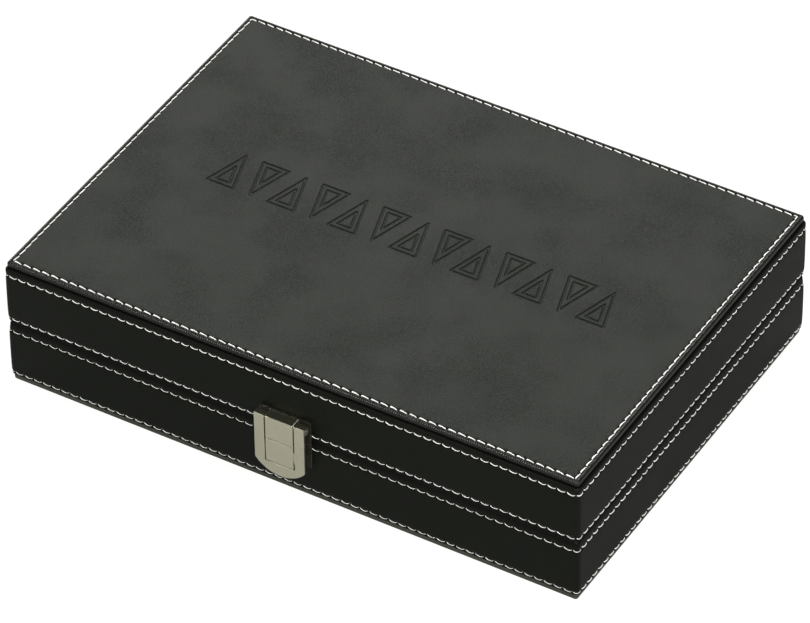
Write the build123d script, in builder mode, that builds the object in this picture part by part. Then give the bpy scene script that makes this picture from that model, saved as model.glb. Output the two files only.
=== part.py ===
from build123d import *
import os

os.makedirs("parts", exist_ok=True)

# A magnetic backgammon set in a leather-covered case that opens flat at its back.
# X runs along the front, -Y is the front with the latch, +Z is up.
# The origin is the middle of the case's underside, and all sizes are in millimetres.

# The closed case, outside its leather
case_length = 250.0
case_depth = 177.0
case_height = 58.6
half_gap = 0.2
corner_radius = 2.2

# Leather and boards
side_leather = 1.2
panel_thickness = 2.4
panel_inset = 1.0
panel_roll = 1.2
groove = 0.4
band_roll = 1.1
lip_thickness = 1.0
rim_lean_height = 3.8
rim_lean_angle = 8.0
lid_rim_roll = 0.7
board_thickness = 3.0
wall_thickness = 6.0
lining_thickness = 0.8

# The playing field
steel_thickness = 0.5
felt_thickness = 1.1
sheet_clearance = 0.1
trough_width = 32.4
divider_width = 5.0
divider_height = 14.4
divider_round = 0.8
point_length = 98.0
point_margin = 1.4
point_edge_gap = 0.5
rows_per_side = 6

# Checkers and their magnets
checker_radius = 9.8
checker_height = 6.0
checker_edge = 0.7
checker_spacing = 0.2
first_checker_gap = 0.6
dish_radius = 7.0
dish_depth = 0.5
magnet_radius = 4.0
magnet_height = 2.0

# Dice, doubling cube and cups
die_size = 9.0
die_edge = 0.9
pip_radius = 0.85
pip_depth = 0.35
pip_spacing = 2.4
doubling_cube_size = 14.0
doubling_cube_edge = 1.2
cube_panel = 10.0
cube_panel_depth = 0.3
die_places = (28.0, 40.0)
cup_length = 56.0
cup_radius = 15.5
cup_waist_radius = 14.9
cup_band = 3.0
cup_wall = 1.5
cup_floor = 2.0
cup_lining = 0.8
cup_lining_setback = 0.5
cup_end_gap = 1.5
cup_rest_gap = 0.2

# Hinges at the back
hinge_offset = 0.6
hinge_length = 40.0
hinge_centres = (-75.0, 75.0)
leaf_width = 4.9
leaf_thickness = 1.0
leaf_seat_gap = 0.1
knuckle_radius = 2.3
knuckle_clearance = 0.2
knuckles_per_hinge = 5
hinge_pin_radius = 1.0
pressed_bore_gap = 0.01
running_gap = 0.05
pin_overhang = 0.1
pin_chamfer = 0.2
screw_places = (-14.0, 0.0, 14.0)
screw_head_radius = 1.8
screw_head_angle = 90
screw_shank_radius = 0.8
screw_length = 8.0
screw_slot = 0.4
screw_hole_gap = 0.02

# Latch on the front
plate_width = 22.3
plate_thickness = 0.8
plate_bottom = 16.15
plate_split = 27.5
plate_split_gap = 0.25
plate_top = 38.35
plate_corner = 0.5
block_width = 12.1
block_bottom = 16.55
block_split = 27.4
block_top = 38.25
block_edge = 0.25
flap_width = 21.8
flap_thickness = 1.05
flap_bottom = 10.7
flap_straight_bottom = 16.3
flap_edge = 0.25
window_width = 13.1
window_bottom = 16.25
latch_pin_radius = 0.8
curl_radius = latch_pin_radius + running_gap + flap_thickness
latch_pin_back = 3.4
latch_pin_height = 36.35
detent_radius = 0.4
detent_height = 5.0
nail_spread = 8.6
nail_head_radius = 1.1
nail_head_thickness = 0.4
nail_radius = 0.6
nail_length = 5.8
base_nail_height = 21.4
lid_nail_height = 32.0

# Values worked out from the ones above
half_height = (case_height - half_gap) / 2
meeting_plane = Plane.XY.offset(case_height / 2)
board_length = case_length - 2 * side_leather
board_depth = case_depth - 2 * side_leather
board_radius = corner_radius - side_leather
inner_length = board_length - 2 * (wall_thickness + lining_thickness)
inner_depth = board_depth - 2 * (wall_thickness + lining_thickness)
wall_bottom = panel_thickness + board_thickness
wall_top = half_height - lip_thickness
felt_bottom = wall_bottom + steel_thickness
field_top = felt_bottom + felt_thickness
divider_back = -inner_depth / 2 + trough_width + divider_width
trough_middle = -inner_depth / 2 + trough_width / 2
row_pitch = (inner_depth / 2 - divider_back) / rows_per_side
front_face = -case_depth / 2
hinge_y = case_depth / 2 + hinge_offset
hinge_z = case_height / 2
notch_reach = knuckle_radius + knuckle_clearance
leaf_back = hinge_y - notch_reach
leaf_front = leaf_back - leaf_width
screw_y = (leaf_front + leaf_back) / 2
latch_pin_y = front_face - latch_pin_back
flap_face = latch_pin_y - curl_radius
plate_face = front_face - plate_thickness


def save(piece, name):
    """Label a finished piece and write its file."""
    piece.part.label = name
    export_step(piece.part, f"parts/{name}.step")


def save_pair(piece, base_name, lid_name):
    """Write a base piece, and the lid's twin as its mirror image in the plane where the rims meet."""
    save(piece, base_name)
    with BuildPart() as twin:
        mirror(piece.part, about=meeting_plane)
    save(twin, lid_name)


def row_y(row):
    """Middle of a row of points, counted from the hinges."""
    return inner_depth / 2 - (row + 0.5) * row_pitch


def nail_places(y, height):
    """Where a latch plate's two nails go in, pointing out of the front."""
    return [Location((x, y, height), (90, 0, 0)) for x in (-nail_spread, nail_spread)]


def block(low, high, mode=Mode.ADD):
    """A box between two opposite corners, placed in the part being built."""
    size = [b - a for a, b in zip(low, high)]
    middle = [(a + b) / 2 for a, b in zip(low, high)]
    with Locations(tuple(middle)):
        Box(*size, mode=mode)


def rod(low_x, high_x, y, z, radius, mode=Mode.ADD):
    """A round rod along X, placed in the part being built."""
    with Locations(Location(((low_x + high_x) / 2, y, z), (0, 90, 0))):
        Cylinder(radius, high_x - low_x, mode=mode)


# Boards and walls of both trays

with BuildPart() as board:
    with BuildSketch(Plane.XY.offset(panel_thickness)):
        RectangleRounded(board_length, board_depth, board_radius)
    extrude(amount=board_thickness)
save_pair(board, "base_bottom_board", "lid_top_board")

with BuildPart() as front_wall:
    block((-board_length / 2, -board_depth / 2, wall_bottom),
          (board_length / 2, -board_depth / 2 + wall_thickness, wall_top))
    outer_corners = front_wall.edges().filter_by(Axis.Z).group_by(Axis.Y)[0]
    fillet(outer_corners, board_radius)

for half, height in (("base", base_nail_height), ("lid", lid_nail_height)):
    with BuildPart() as wall:
        if half == "base":
            add(front_wall.part)
        else:
            mirror(front_wall.part, about=meeting_plane)
        with Locations(*nail_places(front_face, height)):
            Cylinder(nail_radius, 2 * nail_length, mode=Mode.SUBTRACT)
    save(wall, f"{half}_front_wall")

with BuildPart() as back_wall:
    block((-board_length / 2, board_depth / 2 - wall_thickness, wall_bottom),
          (board_length / 2, board_depth / 2, wall_top))
    outer_corners = back_wall.edges().filter_by(Axis.Z).group_by(Axis.Y)[-1]
    fillet(outer_corners, board_radius)
    for centre in hinge_centres:
        reach = hinge_length / 2 + knuckle_clearance
        block((centre - reach, leaf_back, hinge_z - notch_reach),
              (centre + reach, case_depth, case_height), mode=Mode.SUBTRACT)
        with Locations(*[(centre + x, screw_y, wall_top) for x in screw_places]):
            Cylinder(screw_shank_radius + screw_hole_gap, 2 * screw_length, mode=Mode.SUBTRACT)
save_pair(back_wall, "base_back_wall", "lid_back_wall")

with BuildPart() as end_walls:
    for side in (-1, 1):
        middle = side * (board_length - wall_thickness) / 2
        block((middle - wall_thickness / 2, -board_depth / 2 + wall_thickness, wall_bottom),
              (middle + wall_thickness / 2, board_depth / 2 - wall_thickness, wall_top))
save_pair(end_walls, "base_end_walls", "lid_end_walls")

# Leather outside: a flat panel on each big face, and a band round each half

with BuildPart() as panel:
    with BuildSketch(Plane.XY):
        RectangleRounded(case_length - 2 * panel_inset, case_depth - 2 * panel_inset, corner_radius)
    extrude(amount=panel_thickness)
    fillet(panel.faces().sort_by(Axis.Z)[0].edges(), panel_roll)
save_pair(panel, "base_bottom_cover", "lid_top_cover")

# The walls' space, the tray's mouth and the hinge seats, which both bands leave free
with BuildPart() as band_hollow:
    with BuildSketch(Plane.XY.offset(panel_thickness)):
        RectangleRounded(board_length, board_depth, board_radius)
    extrude(amount=wall_top - panel_thickness)
    block((-inner_length / 2, -inner_depth / 2, wall_top), (inner_length / 2, inner_depth / 2, case_height))
    for centre in hinge_centres:
        leaf_reach = hinge_length / 2 + leaf_seat_gap
        knuckle_reach = hinge_length / 2 + knuckle_clearance
        block((centre - leaf_reach, leaf_front - leaf_seat_gap, wall_top),
              (centre + leaf_reach, case_depth, case_height))
        block((centre - knuckle_reach, leaf_back, hinge_z - notch_reach),
              (centre + knuckle_reach, case_depth, case_height))

band_bottom = panel_thickness + groove
lean_start = half_height - rim_lean_height

with BuildPart() as base_band:
    with BuildSketch(Plane.XY.offset(band_bottom)):
        RectangleRounded(case_length, case_depth, corner_radius)
    extrude(amount=lean_start - band_bottom)
    with BuildSketch(Plane.XY.offset(lean_start)):
        RectangleRounded(case_length, case_depth, corner_radius)
    extrude(amount=rim_lean_height, taper=rim_lean_angle)
    fillet(base_band.faces().sort_by(Axis.Z)[0].edges(), band_roll)
    add(band_hollow.part, mode=Mode.SUBTRACT)
    with Locations(*nail_places(front_face, base_nail_height)):
        Cylinder(nail_radius, 4 * side_leather, mode=Mode.SUBTRACT)
save(base_band, "base_side_cover")

with BuildPart() as upright_band:
    with BuildSketch(Plane.XY.offset(band_bottom)):
        RectangleRounded(case_length, case_depth, corner_radius)
    extrude(amount=half_height - band_bottom)
    fillet(upright_band.faces().sort_by(Axis.Z)[0].edges(), band_roll)
    fillet(upright_band.faces().sort_by(Axis.Z)[-1].edges(), lid_rim_roll)
    add(band_hollow.part, mode=Mode.SUBTRACT)

with BuildPart() as lid_band:
    mirror(upright_band.part, about=meeting_plane)
    with Locations(*nail_places(front_face, lid_nail_height)):
        Cylinder(nail_radius, 4 * side_leather, mode=Mode.SUBTRACT)
save(lid_band, "lid_side_cover")

# Lining, steel sheet, field cloth with inlaid points, and divider of both trays

with BuildPart() as lining:
    with BuildSketch(Plane.XY.offset(wall_bottom)):
        Rectangle(inner_length + 2 * lining_thickness, inner_depth + 2 * lining_thickness)
        Rectangle(inner_length, inner_depth, mode=Mode.SUBTRACT)
    extrude(amount=wall_top - wall_bottom)
save_pair(lining, "base_inner_lining", "lid_inner_lining")

with BuildPart() as steel:
    with BuildSketch(Plane.XY.offset(wall_bottom)):
        Rectangle(inner_length - 2 * sheet_clearance, inner_depth - 2 * sheet_clearance)
    extrude(amount=steel_thickness)
save_pair(steel, "base_steel_sheet", "lid_steel_sheet")


def point_outline(side, row, mode=Mode.ADD):
    """One long triangle with its foot at an end of the tray, drawn in the sketch being built."""
    foot = side * (inner_length / 2 - point_edge_gap)
    tip = foot - side * point_length
    half_foot = (row_pitch - point_margin) / 2
    middle = row_y(row)
    Polygon((foot, middle - side * half_foot), (foot, middle + side * half_foot), (tip, middle),
            align=None, mode=mode)


with BuildPart() as field:
    with BuildSketch(Plane.XY.offset(felt_bottom)):
        Rectangle(inner_length - 2 * sheet_clearance, inner_depth - 2 * sheet_clearance)
        for side in (-1, 1):
            for row in range(rows_per_side):
                point_outline(side, row, mode=Mode.SUBTRACT)
    extrude(amount=felt_thickness)
save_pair(field, "base_field", "lid_field")

for colour, other, shift in (("dark", "light", 0), ("light", "dark", 1)):
    with BuildPart() as points:
        with BuildSketch(Plane.XY.offset(felt_bottom)):
            for row in range(rows_per_side):
                side = -1 if (row + shift) % 2 == 0 else 1
                point_outline(side, row)
        extrude(amount=felt_thickness)
    save_pair(points, f"base_points_{colour}", f"lid_points_{other}")

with BuildPart() as divider:
    block((-inner_length / 2 + sheet_clearance, divider_back - divider_width, field_top),
          (inner_length / 2 - sheet_clearance, divider_back, field_top + divider_height))
    fillet(divider.faces().sort_by(Axis.Z)[-1].edges().filter_by(Axis.X), divider_round)
save_pair(divider, "base_divider", "lid_divider")

# Hinges: the base carries the outer and middle knuckles and the pins, the lid the two between

knuckle_pitch = hinge_length / knuckles_per_hinge
knuckle_half = (knuckle_pitch - knuckle_clearance) / 2

for half, first, leaf_bottom, bore_gap in (("base", 0, wall_top, pressed_bore_gap),
                                           ("lid", 1, case_height - half_height, running_gap)):
    leaf_top = leaf_bottom + leaf_thickness
    with BuildPart() as leaves:
        for centre in hinge_centres:
            block((centre - hinge_length / 2, leaf_front, leaf_bottom),
                  (centre + hinge_length / 2, leaf_back, leaf_top))
            for number in range(first, knuckles_per_hinge, 2):
                middle = centre - hinge_length / 2 + (number + 0.5) * knuckle_pitch
                block((middle - knuckle_half, leaf_back, leaf_bottom),
                      (middle + knuckle_half, hinge_y, leaf_top))
                rod(middle - knuckle_half, middle + knuckle_half, hinge_y, hinge_z, knuckle_radius)
            rod(centre - hinge_length / 2, centre + hinge_length / 2, hinge_y, hinge_z,
                hinge_pin_radius + bore_gap, mode=Mode.SUBTRACT)
        face, tilt = (leaf_top, 0) if half == "base" else (leaf_bottom, 180)
        with Locations(*[Location((centre + x, screw_y, face), (tilt, 0, 0))
                         for centre in hinge_centres for x in screw_places]):
            CounterSinkHole(screw_shank_radius + screw_hole_gap, screw_head_radius + screw_hole_gap,
                            depth=leaf_thickness * 2, counter_sink_angle=screw_head_angle)
    save(leaves, f"{half}_hinge_leaves")

with BuildPart() as hinge_pins:
    for centre in hinge_centres:
        reach = hinge_length / 2 + pin_overhang
        rod(centre - reach, centre + reach, hinge_y, hinge_z, hinge_pin_radius)
    chamfer(hinge_pins.edges().filter_by(GeomType.CIRCLE), pin_chamfer)
save(hinge_pins, "hinge_pins")

head_height = screw_head_radius - screw_shank_radius
with BuildPart() as screws:
    with Locations(*[(centre + x, screw_y, half_height) for centre in hinge_centres for x in screw_places]):
        with Locations((0, 0, -head_height)):
            Cone(screw_shank_radius, screw_head_radius, head_height,
                 align=(Align.CENTER, Align.CENTER, Align.MIN))
        Cylinder(screw_shank_radius, screw_length, align=(Align.CENTER, Align.CENTER, Align.MAX))
        Box(2 * screw_shank_radius, screw_slot, screw_slot * 2, mode=Mode.SUBTRACT)
        Box(screw_slot, 2 * screw_shank_radius, screw_slot * 2, mode=Mode.SUBTRACT)
save_pair(screws, "base_hinge_screws", "lid_hinge_screws")

# Latch: a plate and a block on each half, and a flap on a pin through the lid's block

for half, low, high, nail_height in (
        ("base", plate_bottom, plate_split - plate_split_gap / 2, base_nail_height),
        ("lid", plate_split + plate_split_gap / 2, plate_top, lid_nail_height)):
    with BuildPart() as plate:
        block((-plate_width / 2, plate_face, low), (plate_width / 2, front_face, high))
        fillet(plate.edges().filter_by(Axis.Y), plate_corner)
        with Locations(*nail_places(plate_face, nail_height)):
            Cylinder(nail_radius, 4 * plate_thickness, mode=Mode.SUBTRACT)
    save(plate, f"latch_{half}_plate")

    with BuildPart() as nails:
        with Locations(*nail_places(plate_face, nail_height)):
            Cylinder(nail_head_radius, nail_head_thickness, align=(Align.CENTER, Align.CENTER, Align.MIN))
            Cylinder(nail_radius, nail_length, align=(Align.CENTER, Align.CENTER, Align.MAX))
    save(nails, f"latch_{half}_nails")

with BuildPart() as lower_block:
    block((-block_width / 2, flap_face, block_bottom),
          (block_width / 2, plate_face, block_split - plate_split_gap / 2))
    fillet(lower_block.faces().sort_by(Axis.Y)[0].edges(), block_edge)
    with Locations(*[(side * block_width / 2, flap_face + 2 * detent_radius, (block_bottom + block_split) / 2)
                     for side in (-1, 1)]):
        Cylinder(detent_radius, detent_height)
save(lower_block, "latch_lower_block")

with BuildPart() as upper_block:
    block((-block_width / 2, flap_face, block_split + plate_split_gap / 2),
          (block_width / 2, plate_face, block_top))
    fillet(upper_block.faces().sort_by(Axis.Y)[0].edges(), block_edge)
    rod(-block_width, block_width, latch_pin_y, latch_pin_height, latch_pin_radius, mode=Mode.SUBTRACT)
save(upper_block, "latch_upper_block")

with BuildPart() as latch_pin:
    rod(-flap_width / 2, flap_width / 2, latch_pin_y, latch_pin_height, latch_pin_radius)
    chamfer(latch_pin.edges().filter_by(GeomType.CIRCLE), latch_pin_radius / 4)
save(latch_pin, "latch_pin")

with BuildPart() as flap:
    with BuildSketch(Plane.XZ.offset(-flap_face)):
        with BuildLine():
            Polyline((-flap_width / 2, flap_straight_bottom), (-flap_width / 2, block_top),
                     (flap_width / 2, block_top), (flap_width / 2, flap_straight_bottom))
            ThreePointArc((flap_width / 2, flap_straight_bottom), (0, flap_bottom),
                          (-flap_width / 2, flap_straight_bottom))
        make_face()
        with BuildLine():
            Polyline((-window_width / 2, window_bottom), (-window_width / 2, case_height),
                     (window_width / 2, case_height), (window_width / 2, window_bottom), close=True)
        make_face(mode=Mode.SUBTRACT)
    extrude(amount=-flap_thickness)
    legs = [sorted((side * window_width / 2, side * flap_width / 2)) for side in (-1, 1)]
    for inner, outer in legs:
        block((inner, flap_face, latch_pin_height), (outer, latch_pin_y, block_top))
    fillet(flap.faces().sort_by(Axis.Y)[0].edges(), flap_edge)
    for inner, outer in legs:
        rod(inner, outer, latch_pin_y, latch_pin_height, curl_radius)
    rod(-flap_width, flap_width, latch_pin_y, latch_pin_height, latch_pin_radius + running_gap,
        mode=Mode.SUBTRACT)
save(flap, "latch_flap")

# Checkers in their starting places, each row a group of loose discs with a magnet in each underside.
# Points 1 to 12 run along the left end from the base's front to the lid's, 13 to 24 back along the right.

checker_rows = (
    (6, "base", -1, 0, 5), (1, "base", -1, 5, 2), (19, "base", 1, 0, 5), (24, "base", 1, 5, 2),
    (8, "lid", -1, 1, 3), (12, "lid", -1, 5, 5), (17, "lid", 1, 1, 3), (13, "lid", 1, 5, 5),
)
standing = (Align.CENTER, Align.CENTER, Align.MIN)

for point, half, side, row, count in checker_rows:
    first = inner_length / 2 - first_checker_gap - checker_radius
    step = 2 * checker_radius + checker_spacing
    places = [(side * (first - number * step), row_y(row), field_top) for number in range(count)]
    with BuildPart() as discs:
        with Locations(*places):
            Cylinder(checker_radius, checker_height, align=standing)
        fillet(discs.edges().filter_by(GeomType.CIRCLE), checker_edge)
        with Locations(*[(x, y, z + checker_height - dish_depth) for x, y, z in places]):
            Cylinder(dish_radius, checker_height, align=standing, mode=Mode.SUBTRACT)
        with Locations(*places):
            Cylinder(magnet_radius, magnet_height, align=standing, mode=Mode.SUBTRACT)
    with BuildPart() as magnets:
        with Locations(*places):
            Cylinder(magnet_radius, magnet_height, align=standing)
    for piece, name in ((discs, f"checkers_point_{point}"), (magnets, f"magnets_point_{point}")):
        if half == "base":
            save(piece, name)
        else:
            with BuildPart() as hung:
                mirror(piece.part, about=meeting_plane)
            save(hung, name)

# Dice and doubling cube in the base's trough. Opposite faces of a die add up to seven.

pip_patterns = {
    1: ((0, 0),),
    2: ((-1, -1), (1, 1)),
    3: ((-1, -1), (0, 0), (1, 1)),
    4: ((-1, -1), (-1, 1), (1, -1), (1, 1)),
    5: ((-1, -1), (-1, 1), (0, 0), (1, -1), (1, 1)),
    6: ((-1, -1), (-1, 0), (-1, 1), (1, -1), (1, 0), (1, 1)),
}
cube_faces = (
    (6, (0, 0, 1), (1, 0, 0)), (1, (0, 0, -1), (1, 0, 0)), (4, (1, 0, 0), (0, 1, 0)),
    (3, (-1, 0, 0), (0, 1, 0)), (5, (0, 1, 0), (1, 0, 0)), (2, (0, -1, 0), (1, 0, 0)),
)


def face_plane(size, outward, across):
    """Plane on one face of a cube about the origin."""
    return Plane(origin=Vector(*outward) * (size / 2), x_dir=across, z_dir=outward)


with BuildPart() as die:
    Box(die_size, die_size, die_size)
    fillet(die.edges(), die_edge)
    for value, outward, across in cube_faces:
        with BuildSketch(face_plane(die_size, outward, across)):
            with Locations(*[(pip_spacing * a, pip_spacing * b) for a, b in pip_patterns[value]]):
                Circle(pip_radius)
        extrude(amount=-pip_depth, mode=Mode.SUBTRACT)

for name, side in (("dice_light", -1), ("dice_dark", 1)):
    with BuildPart() as dice:
        with Locations(*[(side * x, trough_middle, field_top + die_size / 2) for x in die_places]):
            add(die.part)
    save(dice, name)

with BuildPart() as cube:
    Box(doubling_cube_size, doubling_cube_size, doubling_cube_size)
    fillet(cube.edges(), doubling_cube_edge)
    for value, outward, across in cube_faces:
        with BuildSketch(face_plane(doubling_cube_size, outward, across)):
            Rectangle(cube_panel, cube_panel)
        extrude(amount=-cube_panel_depth, mode=Mode.SUBTRACT)

with BuildPart() as doubling_cube:
    with Locations((0, trough_middle, field_top + doubling_cube_size / 2)):
        add(cube.part)
save(doubling_cube, "doubling_cube")

# Dice cups lying in the trough, mouths towards the middle

cup_back = -inner_length / 2 + cup_end_gap
cup_front = cup_back + cup_length
cup_z = field_top + cup_rest_gap + cup_radius
cup_axis = Axis((0, trough_middle, cup_z), (1, 0, 0))
cup_plane = Plane(origin=(0, trough_middle, cup_z), x_dir=(1, 0, 0), z_dir=(0, -1, 0))
bore_radius = cup_waist_radius - cup_wall
bore_back = cup_back + cup_floor

with BuildPart() as cup:
    with BuildSketch(cup_plane):
        with BuildLine():
            Polyline((cup_back, 0), (cup_back, cup_radius), (cup_back + cup_band, cup_radius),
                     (cup_back + cup_band, cup_waist_radius), (cup_front - cup_band, cup_waist_radius),
                     (cup_front - cup_band, cup_radius), (cup_front, cup_radius), (cup_front, bore_radius),
                     (bore_back, bore_radius), (bore_back, 0), close=True)
        make_face()
    revolve(axis=cup_axis)

lining_front = cup_front - cup_lining_setback
lined_radius = bore_radius - cup_lining
with BuildPart() as cup_inside:
    with BuildSketch(cup_plane):
        with BuildLine():
            Polyline((bore_back, 0), (bore_back, bore_radius), (lining_front, bore_radius),
                     (lining_front, lined_radius), (bore_back + cup_lining, lined_radius),
                     (bore_back + cup_lining, 0), close=True)
        make_face()
    revolve(axis=cup_axis)

for piece, name in ((cup, "dice_cup"), (cup_inside, "dice_cup_lining")):
    save(piece, f"{name}_left")
    with BuildPart() as right_twin:
        mirror(piece.part, about=Plane.YZ)
    save(right_twin, f"{name}_right")
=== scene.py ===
import math

import bmesh
import bpy
import numpy as np
from mathutils import Matrix, Vector


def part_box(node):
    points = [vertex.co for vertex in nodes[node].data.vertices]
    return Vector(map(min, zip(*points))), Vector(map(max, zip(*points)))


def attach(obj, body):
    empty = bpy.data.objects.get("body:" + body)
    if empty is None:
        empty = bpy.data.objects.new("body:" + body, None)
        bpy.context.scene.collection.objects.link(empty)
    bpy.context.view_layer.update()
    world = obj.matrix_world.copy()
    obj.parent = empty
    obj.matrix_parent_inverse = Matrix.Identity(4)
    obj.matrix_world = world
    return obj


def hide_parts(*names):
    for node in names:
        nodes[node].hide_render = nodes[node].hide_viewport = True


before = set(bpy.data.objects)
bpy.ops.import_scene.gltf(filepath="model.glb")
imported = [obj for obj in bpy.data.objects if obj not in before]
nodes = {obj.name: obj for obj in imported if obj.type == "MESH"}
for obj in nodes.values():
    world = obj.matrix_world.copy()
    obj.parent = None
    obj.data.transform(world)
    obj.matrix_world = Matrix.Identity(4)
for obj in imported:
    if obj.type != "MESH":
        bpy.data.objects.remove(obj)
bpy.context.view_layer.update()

MM = 0.001
rng = np.random.default_rng(24)

# Sizes taken from the frame, in metres
band_low, band_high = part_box("base_side_cover")
HALF_X = band_high[0]
HALF_Y = band_high[1]
CASE_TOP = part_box("lid_top_cover")[1][2]
RIM = band_high[2]
BAND_FOOT = band_low[2]
PANEL_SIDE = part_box("lid_top_cover")[1][0]
PANEL_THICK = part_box("base_bottom_cover")[1][2]
PLATE_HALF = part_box("latch_base_plate")[1][0]

# Leather round the sides, in metres. A lean is its height and its inset at the rim
CORNER = 2.2 * MM
SIDE_LEATHER = 1.2 * MM
LIP = 1.0 * MM
MOUTH_INSET = 8.0 * MM
INSIDE_INSET = 1.19 * MM
BAND_ROLL = 1.1 * MM
RIM_ROLL = 1.15 * MM
TONGUE_INSETS = (1.75 * MM, 1.16 * MM)
TONGUE_GAP = 0.03 * MM
FOOT_LIMIT = SIDE_LEATHER - 0.04 * MM
BASE_LEAN = (3.9 * MM, 0.62 * MM)
LID_LEAN = (1.7 * MM, 0.25 * MM)
PUFF = 0.16 * MM
SEAM_DEPTH = 0.24 * MM
SEAM_WIDTH = 0.55 * MM
PUCKER_DEPTH = 0.24 * MM
PUCKER_WIDTH = 0.8 * MM
DRIFT = 0.04 * MM
DRIFT_WAVES = 9
DRIFT_HEIGHT = 7.0 * MM
BAND_STEP = 0.58 * MM
ROW_STEPS = np.linspace(-1.3, 1.3, 9) * MM
FACE_GAP = 0.05 * MM
HAIR = 0.01 * MM

# Where painted shade darkens that leather
GROOVE_SHADE = 0.3 * MM
SHADE_FADE = 0.5 * MM
LID_FOOT_SHADE = 0.25
LID_TURN_IN = 1.1 * MM
BASE_TURN_IN = 1.6 * MM

# Leather of the panels, in metres
FIELD_INSET = 6.0 * MM
FIELD_DROP = 0.1 * MM
FIELD_WANDER = 0.05 * MM
FIELD_FADE = 8.0 * MM
INNER_INSETS = (FIELD_INSET, 5.2 * MM, 4.4 * MM, 3.9 * MM)
CHANNEL_INSETS = np.linspace(3.6, 2.6, 6) * MM
PILLOW_INSETS = np.array([2.4, 2.2, 2.0]) * MM
CHANNEL_DEPTH = 0.3 * MM
CHANNEL_WIDTH = 0.42 * MM
HOLE_WIDTH = 0.9 * MM
BORDER_ROLL = 1.15 * MM
LOWER_ROLL = 0.6 * MM
PLEAT_PITCH = 0.95 * MM
PLEAT_INSET = 2.75 * MM
PLEAT_FADE = 0.35 * MM
PLEATS_OFF_FRONT = 0.08
STRENGTH_KNOTS = 900
PHASE_KNOTS = 260

# Row of slim triangles pressed into the lid, each with a small one inside, of half the size
PATTERN_LENGTH = 176.0 * MM
PATTERN_HEIGHT = 19.4 * MM
PATTERN_MIDDLE = (2.5 * MM, 2.0 * MM)
PATTERN_COUNT = 13
PATTERN_STROKE = 0.34 * MM
PATTERN_DEPTH = 0.34 * MM
PATTERN_SOFTNESS = 0.07 * MM
PATTERN_FAR = 20.0 * MM
TRIANGLE_HALF_FOOT = 0.43
TRIANGLE_SIZES = ((1.0, 0.0), (0.5, 0.22))

# Grid steps of the panels, close together where the pattern is
PRESSED_HALVES = (90.0 * MM, 11.0 * MM)
PRESSED_STEP = 0.25 * MM
FIELD_STEPS = (3.0 * MM, 4.0 * MM)
PLAIN_HALF = 10.0 * MM
PLAIN_STEP = 4.0 * MM

# Stitching. Of each pair, the first is for the front and back and the second for the left and right
LID_PITCH = 4.04 * MM
BASE_PITCH = 4.16 * MM
TOP_PITCH = 4.13 * MM
STITCH_GAP = (0.6 * MM, 0.4 * MM)
LID_UPPER_THREAD = (0.41 * MM, 0.47 * MM)
LID_LOWER_THREAD = (0.33 * MM, 0.45 * MM)
BASE_THREAD = (0.27 * MM, 0.5 * MM)
TOP_THREAD = (0.54 * MM, 0.5 * MM)
THREAD_FLATNESS = 0.8
THREAD_SIDES = 7
DIVE = 0.48 * MM
LIFT = 0.06 * MM
SIDE_SLANT = (0.08, 0.17)
TOP_SLANT = (-0.14, -0.11)
SIDE_SAG = (-0.6 * MM, -0.62 * MM)
TOP_SAG = (-0.12 * MM, -0.2 * MM)
SAG_LEVEL = 0.6
SWELL = 0.25
STITCH_SHARES = np.array([-1, -0.93, -0.8, -0.5, 0, 0.5, 0.8, 0.93, 1])
TANGENT_STEP = 0.4 * MM
ROW_STEP = 0.5 * MM
BASE_ROWS = (4.3 * MM, 25.05 * MM)
LID_ROWS = (6.1 * MM, 27.3 * MM)
TOP_ROW_INSET = 3.1 * MM

# Chance in the stitching: shifts in millimetres, and the least and greatest factor
PLACE_JITTER = 0.06
SAG_JITTER = 0.05
SLANT_SPREAD = (0.7, 1.3)
WIDTH_SPREAD = (0.92, 1.08)

# Hinge seats at the back
HINGE_X = 75.0 * MM
HINGE_HALF = 20.2 * MM
SEAT_FRONT = 1.9 * MM
SEAT_BACK = 6.9 * MM
SEAT_FLOOR = 26.8 * MM
LEAF_FLOOR = 28.16 * MM
HINGE_CLEARANCE = 1.2 * MM
PLATE_CLEARANCE = 0.8 * MM


# Meshes from numpy grids

def grid_quads(rows, columns, wrap_rows=False, wrap_columns=False, flip=False):
    """Quads between neighbours of a rows by columns grid; a wrapped direction closes on its start."""
    row = np.arange(rows if wrap_rows else rows - 1)[:, None]
    column = np.arange(columns if wrap_columns else columns - 1)[None, :]
    next_row = (row + 1) % rows
    next_column = (column + 1) % columns
    corners = (row * columns + column, next_row * columns + column,
               next_row * columns + next_column, row * columns + next_column)
    quads = np.stack([np.broadcast_to(c, (row.size, column.size)) for c in corners], -1).reshape(-1, 4)
    return quads[:, ::-1] if flip else quads


def repeated(count, points_each, *faces):
    """The face arrays of one shape, for count copies of it that follow each other in the points."""
    offset = (np.arange(count) * points_each)[:, None, None]
    return [(f[None] + offset).reshape(-1, f.shape[1]) for f in faces]


def link_object(name, data):
    """A new object for the data, linked to the scene."""
    thing = bpy.data.objects.new(name, data)
    bpy.context.scene.collection.objects.link(thing)
    return thing


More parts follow.
